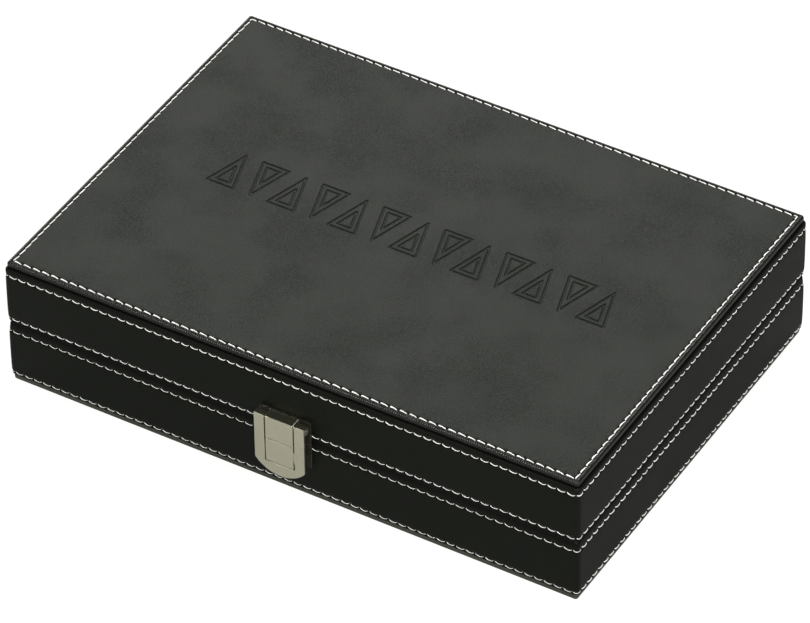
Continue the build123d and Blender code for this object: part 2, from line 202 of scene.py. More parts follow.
def mesh_piece(name, points, faces, material, body, smooth_angle=40.0):
    """A mesh object from points and a list of face arrays, each array with one number of corners."""
    points = np.asarray(points, np.float32).reshape(-1, 3)
    loops = np.concatenate([np.asarray(f, np.int32).ravel() for f in faces])
    counts = np.concatenate([np.full(len(f), np.shape(f)[1], np.int32) for f in faces])
    starts = np.concatenate([[0], np.cumsum(counts)[:-1]]).astype(np.int32)
    mesh = bpy.data.meshes.new(name)
    mesh.vertices.add(len(points))
    mesh.vertices.foreach_set("co", points.ravel())
    mesh.loops.add(len(loops))
    mesh.loops.foreach_set("vertex_index", loops)
    mesh.polygons.add(len(counts))
    mesh.polygons.foreach_set("loop_start", starts)
    mesh.update(calc_edges=True)
    mesh.validate()
    mesh.polygons.foreach_set("use_smooth", np.ones(len(counts), bool))
    mesh.set_sharp_from_angle(angle=math.radians(smooth_angle))
    mesh.materials.append(material)
    piece = link_object(name, mesh)
    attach(piece, body)
    return piece


def shade_points(piece, values):
    """Keeps at each point how much painted shade darkens its leather's colour, from 0 to 1."""
    layer = piece.data.attributes.new("painted_shade", "FLOAT", "POINT")
    layer.data.foreach_set("value", np.asarray(values, np.float32).ravel())


def bump(distance, width):
    """A soft hill of height 1 at distance 0 that dies away over width."""
    return np.exp(-(distance / width) ** 2)


# Paths round the case

def rim_path(step, marks=(), front_step=None):
    """Points round a rectangle with round corners, from the front left corner to the right and on.

    Each point has an anchor on the rectangle shrunk by the corner radius and an outward direction.
    marks are extra places along X that get a point of their own on the front and back sides.
    front_step, where given, is the front side's own step.
    """
    inner_x, inner_y = HALF_X - CORNER, HALF_Y - CORNER
    anchors, outs = [], []
    corner_steps = 10
    for turn, (ax, ay, bx, by) in enumerate((
            (-inner_x, -inner_y, inner_x, -inner_y), (inner_x, -inner_y, inner_x, inner_y),
            (inner_x, inner_y, -inner_x, inner_y), (-inner_x, inner_y, -inner_x, -inner_y))):
        length = math.hypot(bx - ax, by - ay)
        own_step = front_step if front_step and turn == 0 else step
        share = np.linspace(0, 1, int(round(length / own_step)) + 1)
        if turn % 2 == 0:
            extra = (np.asarray(marks) - ax) / (bx - ax) if len(marks) else np.zeros(0)
            share = np.unique(np.concatenate([share, extra]))
        side = np.stack([ax + (bx - ax) * share, ay + (by - ay) * share], 1)
        out_angle = -math.pi / 2 + turn * math.pi / 2
        anchors.append(side)
        outs.append(np.tile((math.cos(out_angle), math.sin(out_angle)), (len(side), 1)))
        angle = out_angle + np.linspace(0, math.pi / 2, corner_steps + 1)[1:-1]
        anchors.append(np.tile((bx, by), (len(angle), 1)))
        outs.append(np.stack([np.cos(angle), np.sin(angle)], 1))
    return np.concatenate(anchors), np.concatenate(outs)


def inset_ring(anchors, outs, inset):
    """The path moved inwards by inset, mitred where the inset is more than the corner radius.

    Each coordinate of the anchor is held within the half size less the larger of corner radius and
    inset, and what is left of the corner radius is added along the outward direction.
    """
    inset = np.asarray(inset)[..., None]
    reach = np.array([HALF_X, HALF_Y]) - np.maximum(CORNER, inset)
    held = np.clip(anchors, -reach, reach)
    return held + outs * np.maximum(CORNER - inset, 0)


def arc_lengths(ring):
    """Distance along a closed ring of points at each of its points, and the whole length."""
    steps = np.linalg.norm(np.roll(ring, -1, 0) - ring, axis=1)
    return np.concatenate([[0], np.cumsum(steps)[:-1]]), steps.sum()


def needle_holes(anchors, outs, inset, pitch):
    """How near each point of the path lies to a hole between two stitches, from 0 to 1, as a column.

    A raised cosine cubed, counted along the ring that the stitches themselves are laid out on, so that
    the holes stay between the stitches all the way round.
    """
    along, length = arc_lengths(inset_ring(anchors, outs, inset))
    count = round(length / pitch)
    return ((0.5 + 0.5 * np.cos(2 * math.pi * along * count / length)) ** 3)[:, None]


def profile_places(anchors, outs, insets):
    """Where a profile's points come in X and Y at each point of the path, from their insets there."""
    return np.stack([inset_ring(anchors, outs, column) for column in insets.T], 1)


def closed_profile(places, heights, lid):
    """Points and quads of a closed profile carried round the case, its heights from the panel side."""
    z = CASE_TOP - heights if lid else heights
    points = np.concatenate([places, z[..., None]], 2)
    return points, grid_quads(points.shape[0], points.shape[1], True, True, flip=lid)


# Leather bands round the two halves

def band_profile(lid, rows):
    """Heights and insets of a band's outer face from foot to rim, and how many points the foot has.

    Heights are from the half's panel side. A tongue covers the board's edge, the foot rolls in at the
    groove beside the panel, and the face leans in to the rim. Points lie close at the stitch rows.
    """
    roll = np.linspace(0, math.pi / 2, 6)
    foot_inset = np.append(TONGUE_INSETS, BAND_ROLL * (1 - np.sin(roll)))
    foot_height = np.append([PANEL_THICK - TONGUE_GAP] * 2, BAND_FOOT + BAND_ROLL * (1 - np.cos(roll)))
    face_height = np.unique(np.concatenate([np.linspace(foot_height[-1], RIM - RIM_ROLL, 12)[1:]]
                                           + [row + ROW_STEPS for row in rows]))
    face_height = face_height[face_height > foot_height[-1] + FACE_GAP]
    face_height = face_height[face_height < RIM - RIM_ROLL - FACE_GAP]
    rim_inset = RIM_ROLL * (1 - np.cos(roll))
    rim_height = RIM - RIM_ROLL + RIM_ROLL * np.sin(roll)
    height = np.concatenate([foot_height, face_height, rim_height])
    inset = np.concatenate([foot_inset, np.zeros_like(face_height), rim_inset])
    lean_height, lean_inset = LID_LEAN if lid else BASE_LEAN
    lean = np.clip((height - (RIM - lean_height)) / lean_height, 0, 1)
    inset = inset + lean_inset * lean ** 0.7
    middle, half = (rows[0] + rows[1]) / 2, (rows[1] - rows[0]) / 2
    inset = inset + PUFF * np.clip(np.abs(height - middle) / half, 0, 1) ** 4
    return height, inset, len(foot_height)


def band_shade(lid, rows, height):
    """How far painted shade darkens a band's leather: in the groove, and where it turns in beside its rows.
    """
    groove = np.clip((BAND_FOOT + GROOVE_SHADE - height) / GROOVE_SHADE, 0, 1)
    below = (LID_FOOT_SHADE if lid else 0.0) * np.clip((rows[0] - height) / SHADE_FADE, 0, 1)
    turn_in = rows[1] + (LID_TURN_IN if lid else BASE_TURN_IN)
    beyond = np.clip((height - turn_in) / SHADE_FADE, 0, 1)
    return np.maximum(np.maximum(beyond, below), groove)


def band(name, body, lid, rows, replaced, material):
    """The leather round one half: a closed profile of inset and height carried round the case.

    The outer face sinks by a soft seam at each stitch row, with a pucker at each needle hole. Past the
    rim the profile runs in to the tray's mouth and back down to the foot inside the leather. At the
    hinges the rim is cut down to the seats of leaves and knuckles.
    """
    hinge_ends = [side * HINGE_X + end * (HINGE_HALF + gap) for side in (-1, 1) for end in (-1, 1)
                  for gap in (-HAIR, HAIR)]
    anchors, outs = rim_path(BAND_STEP, hinge_ends)
    along, length = arc_lengths(inset_ring(anchors, outs, 0.0))
    along = along[:, None]
    height, inset, foot = band_profile(lid, rows)
    seam = sum(bump(height - row, SEAM_WIDTH) for row in rows)
    near = sum(bump(height - row, PUCKER_WIDTH) for row in rows)
    pucker = needle_holes(anchors, outs, SEAM_DEPTH + PUFF, LID_PITCH if lid else BASE_PITCH)
    waves = np.sin(along * 2 * math.pi / length * DRIFT_WAVES + 0.7)
    drift = DRIFT * waves * np.sin(height / DRIFT_HEIGHT)
    outer_inset = inset + SEAM_DEPTH * seam + PUCKER_DEPTH * near * pucker + np.abs(drift)
    outer_inset[:, 1:foot] = np.minimum(outer_inset[:, 1:foot], FOOT_LIMIT)
    lip_inset = np.array([SEAT_FRONT - 2 * HAIR, SEAT_FRONT, SEAT_BACK, SEAT_BACK + 2 * HAIR,
                          MOUTH_INSET, MOUTH_INSET, INSIDE_INSET, INSIDE_INSET])
    lip_height = np.array([RIM, RIM, RIM, RIM, RIM, RIM - LIP, RIM - LIP, PANEL_THICK + 2 * HAIR])
    insets = np.concatenate([outer_inset, np.tile(lip_inset, (len(anchors), 1))], 1)
    heights = np.tile(np.concatenate([height, lip_height]), (len(anchors), 1))
    places = profile_places(anchors, outs, insets)
    at_hinge = (np.abs(np.abs(anchors[:, 0]) - HINGE_X) < HINGE_HALF) & (outs[:, 1] > 0.99)
    depth = HALF_Y - places[..., 1]
    seat = np.where(depth < SEAT_FRONT - HAIR, SEAT_FLOOR,
                    np.where(depth < SEAT_BACK + HAIR, LEAF_FLOOR, RIM))
    heights = np.where(at_hinge[:, None], np.minimum(heights, seat), heights)
    points, quads = closed_profile(places, heights, lid)
    piece = mesh_piece(name, points, [quads], material, body)
    # Painted shade on the band: in the groove, beside the rows, and full on the lip and inside the mouth
    shades = np.concatenate([band_shade(lid, rows, height), np.ones(len(lip_height))])
    shade_points(piece, np.tile(shades, (len(anchors), 1)))
    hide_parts(replaced)


# Leather of the big panels

def border_profile():
    """Insets and depths of a border from field to groove, how far it faces up, and its flat points.

    From the flat field it dips into the stitched channel, rises in a pillow, rolls over the edge in a
    quarter circle, runs straight down and rolls in again in a smaller one. It faces up by 1 where it
    is flat, by 0 where it is upright and by -1 underneath.
    """
    edge = HALF_X - PANEL_SIDE
    flat_inset = np.concatenate([INNER_INSETS, CHANNEL_INSETS, PILLOW_INSETS])
    roll = np.linspace(0, math.pi / 2, 7)
    tuck = np.linspace(0, math.pi / 2, 5)
    inset = np.concatenate([flat_inset, edge + BORDER_ROLL * (1 - np.sin(roll)),
                            edge + LOWER_ROLL * (1 - np.cos(tuck))])
    drop = np.concatenate([np.zeros(len(flat_inset)), BORDER_ROLL * (1 - np.cos(roll)),
                           PANEL_THICK - LOWER_ROLL * (1 - np.sin(tuck))])
    facing_up = np.concatenate([np.ones(len(flat_inset)), np.cos(roll), -np.sin(tuck)])
    channel_start = len(INNER_INSETS)
    drop[:channel_start] += FIELD_DROP
    drop[channel_start:channel_start + len(CHANNEL_INSETS)] += 0.6 * FIELD_DROP
    drop = drop + CHANNEL_DEPTH * bump(inset - TOP_ROW_INSET, CHANNEL_WIDTH)
    return inset, drop, facing_up, len(flat_inset)


def wandering(along, length, knots, low, high):
    """A random value along a ring, drawn at evenly spaced knots, as a column."""
    return np.interp(along[:, 0], np.linspace(0, length, knots), rng.uniform(low, high, knots))[:, None]


def panel_border(name, body, lid, replaced, material, rolled, step, front_step, pleat_depth):
    """The rolled border of a big panel: a closed profile of inset and depth carried round the case.

    Fine pleats across pillow and roll, deepest on the front, stand for the gathered leather: a sine
    along the edge with wandering phase and strength, cut in along the profile's normal.
    """
    anchors, outs = rim_path(step, front_step=front_step)
    along, length = arc_lengths(inset_ring(anchors, outs, HALF_X - PANEL_SIDE))
    along = along[:, None]
    inset, drop, facing_up, flat_count = border_profile()
    strength = wandering(along, length, STRENGTH_KNOTS, 0.45, 1.0)
    phase = wandering(along, length, PHASE_KNOTS, -1.2, 1.2)
    strength = strength * np.where(outs[:, 1:] < -0.5, 1.0, PLEATS_OFF_FRONT)
    pleats = 0.5 + 0.5 * np.sin(2 * math.pi * along / PLEAT_PITCH + phase + 1.2 * inset / MM)
    zone = np.clip((PLEAT_INSET - inset) / PLEAT_FADE, 0, 1) * (1.0 - 0.4 * np.abs(facing_up))
    cut = pleat_depth * strength * pleats * zone
    pucker = needle_holes(anchors, outs, TOP_ROW_INSET, TOP_PITCH)
    drop = drop + PUCKER_DEPTH * pucker * bump(inset - TOP_ROW_INSET, HOLE_WIDTH) + cut * facing_up
    side = np.sqrt(1 - facing_up ** 2) * cut
    insets = np.concatenate([inset + side, np.full((len(anchors), 1), FIELD_INSET)], 1)
    drops = np.concatenate([drop, np.full((len(anchors), 1), PANEL_THICK)], 1)
    points, quads = closed_profile(profile_places(anchors, outs, insets), drops, lid)
    piece = mesh_piece(name, points, [quads], material, body, 75.0)
    piece.data.materials.append(rolled)
    profile_place = np.tile(np.arange(points.shape[1]), len(anchors))
    on_edge = (profile_place >= flat_count) & (profile_place < len(inset))
    piece.data.polygons.foreach_set("material_index", on_edge.astype(np.int32))
    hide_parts(replaced)


def spread_lines(half, middle, fine_half, fine_step, coarse_step):
    """Grid lines from -half to half, close together within fine_half of middle and wide apart outside."""
    low, high = middle - fine_half, middle + fine_half
    return np.concatenate([np.linspace(-half, low, int(round((low + half) / coarse_step)) + 1)[:-1],
                           np.linspace(low, high, int(round(2 * fine_half / fine_step)) + 1),
                           np.linspace(high, half, int(round((half - high) / coarse_step)) + 1)[1:]])


def flat_panel(name, body, lid, replaced, material, pressed):
    """The flat field of a big panel: a grid of heights over X and Y, closed below by one face.

    Height is a slow soft wander that fades out at the border, less the depth of the pressed pattern.
    """
    half_x, half_y = HALF_X - FIELD_INSET, HALF_Y - FIELD_INSET
    if pressed:
        x = spread_lines(half_x, PATTERN_MIDDLE[0], PRESSED_HALVES[0], PRESSED_STEP, FIELD_STEPS[0])
        y = spread_lines(half_y, PATTERN_MIDDLE[1], PRESSED_HALVES[1], PRESSED_STEP, FIELD_STEPS[1])
    else:
        x = spread_lines(half_x, 0.0, PLAIN_HALF, PLAIN_STEP, PLAIN_STEP)
        y = spread_lines(half_y, 0.0, PLAIN_HALF, PLAIN_STEP, PLAIN_STEP)
    gx, gy = np.meshgrid(x, y, indexing="ij")
    fade_x = np.clip((half_x - np.abs(gx)) / FIELD_FADE, 0, 1)
    fade_y = np.clip((half_y - np.abs(gy)) / FIELD_FADE, 0, 1)
    wander = np.sin(gx / (31 * MM) + 1.1 * np.sin(gy / (23 * MM))) * np.sin(gy / (27 * MM) + 0.6)
    drop = FIELD_DROP + FIELD_WANDER * (fade_x * fade_y) * (1 - wander) * 0.5
    if pressed:
        drop = drop + pressed_pattern(gx, gy)
    z = CASE_TOP - drop if lid else drop
    top = np.stack([gx, gy, z], -1).reshape(-1, 3)
    rows, columns = gx.shape
    index = np.arange(rows * columns).reshape(rows, columns)
    loop = np.concatenate([index[:-1, 0], index[-1, :-1], index[:0:-1, -1], index[0, :0:-1]])
    under = top[loop].copy()
    under[:, 2] = CASE_TOP - PANEL_THICK if lid else PANEL_THICK
    below = rows * columns + np.arange(len(loop))
    wall = np.stack([loop, np.roll(loop, -1), np.roll(below, -1), below], 1)
    faces = [grid_quads(rows, columns), wall[:, ::-1], below[None, ::-1]]
    if not lid:
        faces = [f[:, ::-1] for f in faces]
    piece = mesh_piece(name, np.concatenate([top, under]), faces, material, body, 50.0)
    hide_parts(replaced)


def segment_distance(gx, gy, ax, ay, bx, by):
    """Distance from each grid point to the straight stroke from a to b."""
    dx, dy = bx - ax, by - ay
    share = np.clip(((gx - ax) * dx + (gy - ay) * dy) / (dx * dx + dy * dy), 0, 1)
    return np.hypot(gx - ax - share * dx, gy - ay - share * dy)


def pressed_pattern(gx, gy):
    """Depth of a pressed row of slim triangles, points up and down in turn, each with a small one inside.

    Depth falls off smoothly from the middle of each stroke, by the distance to the nearest stroke.
    """
    pitch = PATTERN_LENGTH / PATTERN_COUNT
    gx, gy = gx - PATTERN_MIDDLE[0], gy - PATTERN_MIDDLE[1]
    nearest = np.full(gx.shape, PATTERN_FAR)
    for number in range(PATTERN_COUNT):
        middle = (number - (PATTERN_COUNT - 1) / 2) * pitch
        way = 1 if number % 2 == 0 else -1
        for scale, sink in TRIANGLE_SIZES:
            half_foot = TRIANGLE_HALF_FOOT * pitch * scale
            foot_y = -way * PATTERN_HEIGHT / 2 * (1 - sink)
            tip_y = foot_y + way * PATTERN_HEIGHT * scale
            corners = ((middle - half_foot, foot_y), (middle + half_foot, foot_y), (middle, tip_y))
            for start, end in zip(corners, corners[1:] + corners[:1]):
                nearest = np.minimum(nearest, segment_distance(gx, gy, *start, *end))
    return PATTERN_DEPTH / (1 + np.exp((nearest - PATTERN_STROKE) / PATTERN_SOFTNESS))


# Stitching

def ring_points(ring, places):
    """Points in X and Y at the given distances along a closed ring."""
    along, length = arc_lengths(ring)
    along = np.append(along, length)
    closed = np.vstack([ring, ring[:1]])
    return np.stack([np.interp(places, along, closed[:, axis]) for axis in (0, 1)], -1)


def jitter(count, reach):
    """Random lengths of up to reach millimetres either way."""
    return rng.uniform(-reach, reach, count) * MM


def stitch_row(name, body, ring, height, pitch, widths, slants, sags, facing, material, skip=None):
    """One row of slanted stitches along a closed ring: each stitch is a tube that dips in at both ends.

    The tube's middle line runs along the ring, slants across it, sags across it as a parabola, and
    falls below the leather at its ends by the twelfth power of the share of its half length. Across
    it is an ellipse that thins evenly from the stitch's start to its end. widths, slants and sags
    each hold the value on the front and back, and the one on the left and right. facing is 0 for
    thread on the sides, 1 on the top and -1 on the underside.
    """
    length = arc_lengths(ring)[1]
    count = round(length / pitch)
    pitch = length / count
    centre = (np.arange(count) + 0.5) * pitch + jitter(count, PLACE_JITTER)
    centre_points = ring_points(ring, centre)
    reach_y = np.abs(ring[:, 1]).max() - CORNER
    long_side = np.abs(centre_points[:, 1:]) > reach_y
    share = STITCH_SHARES
    from_centre = share * (pitch - np.where(long_side, *STITCH_GAP)) / 2
    place = (centre[:, None] + from_centre) % length
    ahead = ring_points(ring, (place + TANGENT_STEP) % length)
    behind = ring_points(ring, (place - TANGENT_STEP) % length)
    tangent = ahead - behind
    tangent /= np.linalg.norm(tangent, axis=-1, keepdims=True)
    out = np.stack([tangent[..., 1], -tangent[..., 0], np.zeros_like(place)], -1)
    vertical = np.broadcast_to((0.0, 0.0, 1.0), out.shape)
    if facing:
        stand, across = vertical * facing, out
    else:
        stand, across = out, vertical
    middle = np.concatenate([ring_points(ring, place), np.full((*place.shape, 1), height)], -1)
    fall = np.where(long_side, *slants) * rng.uniform(*SLANT_SPREAD, count)[:, None]
    middle = middle - across * (from_centre * fall)[..., None]
    bow = np.where(long_side, *sags) + jitter(count, SAG_JITTER)[:, None]
    middle = middle + across * (bow * (SAG_LEVEL - share ** 2))[..., None]
    ends = share ** 12
    middle = middle + stand * (LIFT - DIVE * ends)[..., None]
    taper = np.sqrt(1 - 0.5 * ends) * (1 - SWELL * share)
    wander = rng.uniform(*WIDTH_SPREAD, count)[:, None]
    width = (np.where(long_side, *widths) / 2 * taper * wander)[..., None, None]
    depth = width * THREAD_FLATNESS
    angle = np.linspace(0, 2 * math.pi, THREAD_SIDES, endpoint=False)[:, None]
    points = (middle[:, :, None, :] + across[:, :, None, :] * width * np.cos(angle)
              + stand[:, :, None, :] * depth * np.sin(angle))
    if skip is not None:
        points = points[~skip(centre_points[:, 0], centre_points[:, 1])]
    rings, sides = len(share), THREAD_SIDES
    caps = np.stack([np.arange(sides)[::-1], (rings - 1) * sides + np.arange(sides)])
    faces = repeated(len(points), rings * sides, grid_quads(rings, sides, False, True), caps)
    if facing <= 0:
        faces = [f[:, ::-1] for f in faces]
    mesh_piece(name, points, faces, material, body, smooth_angle=80.0)


# Materials

def node_group(name, inputs, outputs):
    """An empty shader node group with named inputs, each with its kind and value, and named outputs."""
    group = bpy.data.node_groups.new(name, "ShaderNodeTree")
    for label, kind, value in inputs:
        socket = group.interface.new_socket(label, in_out="INPUT", socket_type=kind)
        if value is not None:
            socket.default_value = value
    for label, kind in outputs:
        group.interface.new_socket(label, in_out="OUTPUT", socket_type=kind)
    source = group.nodes.new("NodeGroupInput")
    result = group.nodes.new("NodeGroupOutput")
    return group, source, result


def add_node(tree, kind, values=None, links=None, **settings):
    """A node with its settings, socket values and links from other sockets."""
    node = tree.nodes.new(kind)
    for key, value in settings.items():
        setattr(node, key, value)
    for key, value in (values or {}).items():
        node.inputs[key].default_value = value
    for key, socket in (links or {}).items():
        tree.links.new(socket, node.inputs[key])
    return node


def make_grain_group():
    """Pressed leather grain: Voronoi cells with soft creases and finer noise, both stronger in patches."""
    group, source, result = node_group(
        "leather grain",
        [("Vector", "NodeSocketVector", None), ("Cells per metre", "NodeSocketFloat", 1600.0),
         ("Crease", "NodeSocketFloat", 0.6)],
        [("Height", "NodeSocketFloat"), ("Tone", "NodeSocketFloat")])
    vector = source.outputs["Vector"]
    warp = add_node(group, "ShaderNodeTexNoise", {"Scale": 900.0, "Detail": 2.0}, {"Vector": vector})
    shifted = add_node(group, "ShaderNodeVectorMath", {"Scale": 0.0006}, {0: warp.outputs["Color"]},
                       operation="SCALE")
    place = add_node(group, "ShaderNodeVectorMath", None, {0: vector, 1: shifted.outputs[0]},
                     operation="ADD")
    cells = add_node(group, "ShaderNodeTexVoronoi", None,
                     {"Vector": place.outputs[0], "Scale": source.outputs["Cells per metre"]},
                     feature="DISTANCE_TO_EDGE")
    crease = add_node(group, "ShaderNodeMapRange", {"From Max": 0.28}, {"Value": cells.outputs["Distance"]},
                      interpolation_type="SMOOTHSTEP")
    fine = add_node(group, "ShaderNodeTexNoise", {"Scale": 1100.0, "Detail": 3.0, "Roughness": 0.6},
                    {"Vector": vector})
    patches = add_node(group, "ShaderNodeTexNoise", {"Scale": 45.0, "Detail": 2.0}, {"Vector": vector})
    patch = add_node(group, "ShaderNodeMapRange",
                     {"From Min": 0.35, "From Max": 0.65, "To Min": 0.45, "To Max": 1.0},
                     {"Value": patches.outputs["Fac"]})
    deep = add_node(group, "ShaderNodeMath", None, {0: crease.outputs[0], 1: source.outputs["Crease"]},
                    operation="MULTIPLY")
    both = add_node(group, "ShaderNodeMath", None, {0: deep.outputs[0], 1: fine.outputs["Fac"]},
                    operation="ADD")
    height = add_node(group, "ShaderNodeMath", None, {0: both.outputs[0], 1: patch.outputs[0]},
                      operation="MULTIPLY")
    slow = add_node(group, "ShaderNodeTexNoise", {"Scale": 28.0, "Detail": 3.0}, {"Vector": vector})
    group.links.new(height.outputs[0], result.inputs["Height"])
    group.links.new(slow.outputs["Fac"], result.inputs["Tone"])
    return group


def make_nap_group():
    """Cloth nap: fine fibre noise in two sizes, with a slow lean of the pile."""
    group, source, result = node_group(
        "cloth nap",
        [("Vector", "NodeSocketVector", None), ("Fibres per metre", "NodeSocketFloat", 2600.0)],
        [("Height", "NodeSocketFloat"), ("Tone", "NodeSocketFloat")])
    fine = add_node(group, "ShaderNodeTexNoise", {"Detail": 5.0, "Roughness": 0.75},
                    {"Vector": source.outputs["Vector"], "Scale": source.outputs["Fibres per metre"]})
    slow = add_node(group, "ShaderNodeTexNoise", {"Scale": 60.0, "Detail": 4.0, "Roughness": 0.65},
                    {"Vector": source.outputs["Vector"]})
    tone = add_node(group, "ShaderNodeMath", None, {0: fine.outputs["Fac"], 1: slow.outputs["Fac"]},
                    operation="ADD")
    half = add_node(group, "ShaderNodeMath", {1: 0.5}, {0: tone.outputs[0]}, operation="MULTIPLY")
    group.links.new(fine.outputs["Fac"], result.inputs["Height"])
    group.links.new(half.outputs[0], result.inputs["Tone"])
    return group


def make_brush_group():
    """Fine brushed lines along one way, with a few faint smudges."""
    group, source, result = node_group(
        "brushed metal",
        [("Vector", "NodeSocketVector", None), ("Stretch", "NodeSocketVector", (1.0, 1.0, 1.0))],
        [("Height", "NodeSocketFloat"), ("Smudge", "NodeSocketFloat")])
    stretched = add_node(group, "ShaderNodeVectorMath", None,
                         {0: source.outputs["Vector"], 1: source.outputs["Stretch"]}, operation="MULTIPLY")
    lines = add_node(group, "ShaderNodeTexNoise", {"Scale": 1800.0, "Detail": 3.0},
                     {"Vector": stretched.outputs[0]})
    smudge = add_node(group, "ShaderNodeTexNoise", {"Scale": 160.0, "Detail": 3.0, "Roughness": 0.6},
                      {"Vector": source.outputs["Vector"]})
    group.links.new(lines.outputs["Fac"], result.inputs["Height"])
    group.links.new(smudge.outputs["Fac"], result.inputs["Smudge"])
    return group


GRAIN = make_grain_group()
NAP = make_nap_group()
BRUSH = make_brush_group()
BRUSH_DEPTH = 0.0012 * MM
BRUSHED_UPRIGHT = (1.0, 1.0, 0.06)


def finish_material(name, group, values, dark, light, rough, relief_depth, mask, **shader_values):
    """A Principled material: a group's slow mask mixes its colour and roughness, its height bumps it."""
    material = bpy.data.materials.new(name)
    material.use_nodes = True
    tree = material.node_tree
    shader = tree.nodes["Principled BSDF"]
    coordinates = add_node(tree, "ShaderNodeTexCoord")
    pattern = add_node(tree, "ShaderNodeGroup", node_tree=group)
    tree.links.new(coordinates.outputs["Object"], pattern.inputs["Vector"])
    for key, value in values.items():
        pattern.inputs[key].default_value = value
    contrast = add_node(tree, "ShaderNodeMapRange", {"From Min": 0.3, "From Max": 0.7},
                        {"Value": pattern.outputs[mask]})
    colour = add_node(tree, "ShaderNodeMix", None, {"Factor": contrast.outputs[0]}, data_type="RGBA")
    colour.inputs[6].default_value = (*dark, 1.0)
    colour.inputs[7].default_value = (*light, 1.0)
    tree.links.new(colour.outputs[2], shader.inputs["Base Color"])
    roughness = add_node(tree, "ShaderNodeMapRange", {"To Min": rough[0], "To Max": rough[1]},
                         {"Value": contrast.outputs[0]})
    tree.links.new(roughness.outputs[0], shader.inputs["Roughness"])
    relief = add_node(tree, "ShaderNodeBump", {"Strength": 1.0, "Distance": relief_depth},
                      {"Height": pattern.outputs["Height"]})
    tree.links.new(relief.outputs["Normal"], shader.inputs["Normal"])
    for key, value in shader_values.items():
        shader.inputs[key.replace("_", " ")].default_value = value
    return material


def leather(name, dark, light, cells=1500.0, rough=(0.46, 0.52), relief_depth=0.06 * MM, **shader_values):
    """Grained leather in two close shades, darkened by painted shade where its points say that it turns in
    to a seam.
    """
    material = finish_material(name, GRAIN, {"Cells per metre": cells}, dark, light, rough, relief_depth,
                               "Tone", **shader_values)
    tree = material.node_tree
    shader = tree.nodes["Principled BSDF"]
    plain = shader.inputs["Base Color"].links[0].from_socket
    # Painted shade: the colour goes towards a quarter of the dark tone as far as the points ask
    painted_shade = add_node(tree, "ShaderNodeAttribute", attribute_name="painted_shade")
    deep = add_node(tree, "ShaderNodeMix", None, {"Factor": painted_shade.outputs["Fac"], 6: plain},
                    data_type="RGBA")
    deep.inputs[7].default_value = (*[0.25 * c for c in dark], 1.0)
    tree.links.new(deep.outputs[2], shader.inputs["Base Color"])
    return material


def cloth(name, dark, light, relief_depth=0.12 * MM):
    """Short-napped felt."""
    return finish_material(name, NAP, {}, dark, light, (0.85, 1.0), relief_depth, "Tone",
                           Specular_IOR_Level=0.15, Sheen_Weight=0.25, Sheen_Roughness=0.5)


def nickel(name, dark, light, stretch, rough, metallic=1.0):
    """Brushed plated metal, its lines along the axis with the smallest stretch."""
    return finish_material(name, BRUSH, {"Stretch": stretch}, dark, light, rough, BRUSH_DEPTH,
                           "Smudge", Metallic=metallic)


def moulded(name, dark, light, rough=(0.2, 0.3)):
    """Swirled moulded plastic, as checkers and dice are made of."""
    return finish_material(name, NAP, {"Fibres per metre": 500.0}, dark, light, rough, 0.006 * MM,
                           "Tone", Coat_Weight=0.25, Coat_Roughness=0.1)


black_leather = leather("black leather", (0.0036, 0.0045, 0.0029), (0.0043, 0.0053, 0.0035), cells=1300.0,
                        rough=(0.48, 0.51), relief_depth=0.09 * MM, Specular_IOR_Level=0.15,
                        Specular_Tint=(0.95, 1.0, 0.88, 1.0))
edge_leather = leather("black leather, burnished edge", (0.0060, 0.0072, 0.0048), (0.0070, 0.0082, 0.0056),
                       rough=(0.30, 0.36), Specular_IOR_Level=0.5)
# Far lighter than the black leather: a painted reflection of the pale floor on the base's rolled lower edge
foot_leather_painted_reflection = leather("black leather, foot with painted floor reflection", (0.042, 0.040, 0.031), (0.052, 0.049, 0.038),
                       rough=(0.40, 0.46), Specular_IOR_Level=0.3)
cup_leather = leather("cup leather", (0.012, 0.011, 0.010), (0.022, 0.020, 0.018), cells=2200.0)
divider_leather = leather("divider leather", (0.010, 0.010, 0.010), (0.018, 0.017, 0.016), cells=2200.0)
dark_inlay = leather("dark red inlay leather", (0.075, 0.008, 0.010), (0.12, 0.014, 0.015), cells=2600.0)
light_inlay = leather("cream inlay leather", (0.46, 0.38, 0.26), (0.58, 0.50, 0.36), cells=2600.0)
board_felt = cloth("green felt", (0.012, 0.060, 0.028), (0.022, 0.095, 0.045))
lining_felt = cloth("black lining flock", (0.008, 0.008, 0.009), (0.018, 0.018, 0.020))
raw_board = finish_material("raw fibreboard", NAP, {"Fibres per metre": 900.0}, (0.26, 0.17, 0.10),
                            (0.36, 0.25, 0.15), (0.8, 0.95), 0.08 * MM, "Tone")
zinc_sheet = nickel("zinc plated sheet", (0.42, 0.43, 0.44), (0.55, 0.56, 0.57),
                    (0.05, 1.0, 1.0), (0.4, 0.55))
latch_metal = nickel("satin nickel", (0.77, 0.75, 0.58), (0.80, 0.78, 0.605),
                     BRUSHED_UPRIGHT, (0.27, 0.31))
# Pale, half-matt nickel that scatters more than it mirrors: a painted highlight along the latch's rounded
# edges
edge_highlight_nickel = nickel("nickel edge with painted highlight", (0.74, 0.72, 0.60), (0.80, 0.78, 0.66),
                      BRUSHED_UPRIGHT, (0.6, 0.7), metallic=0.3)
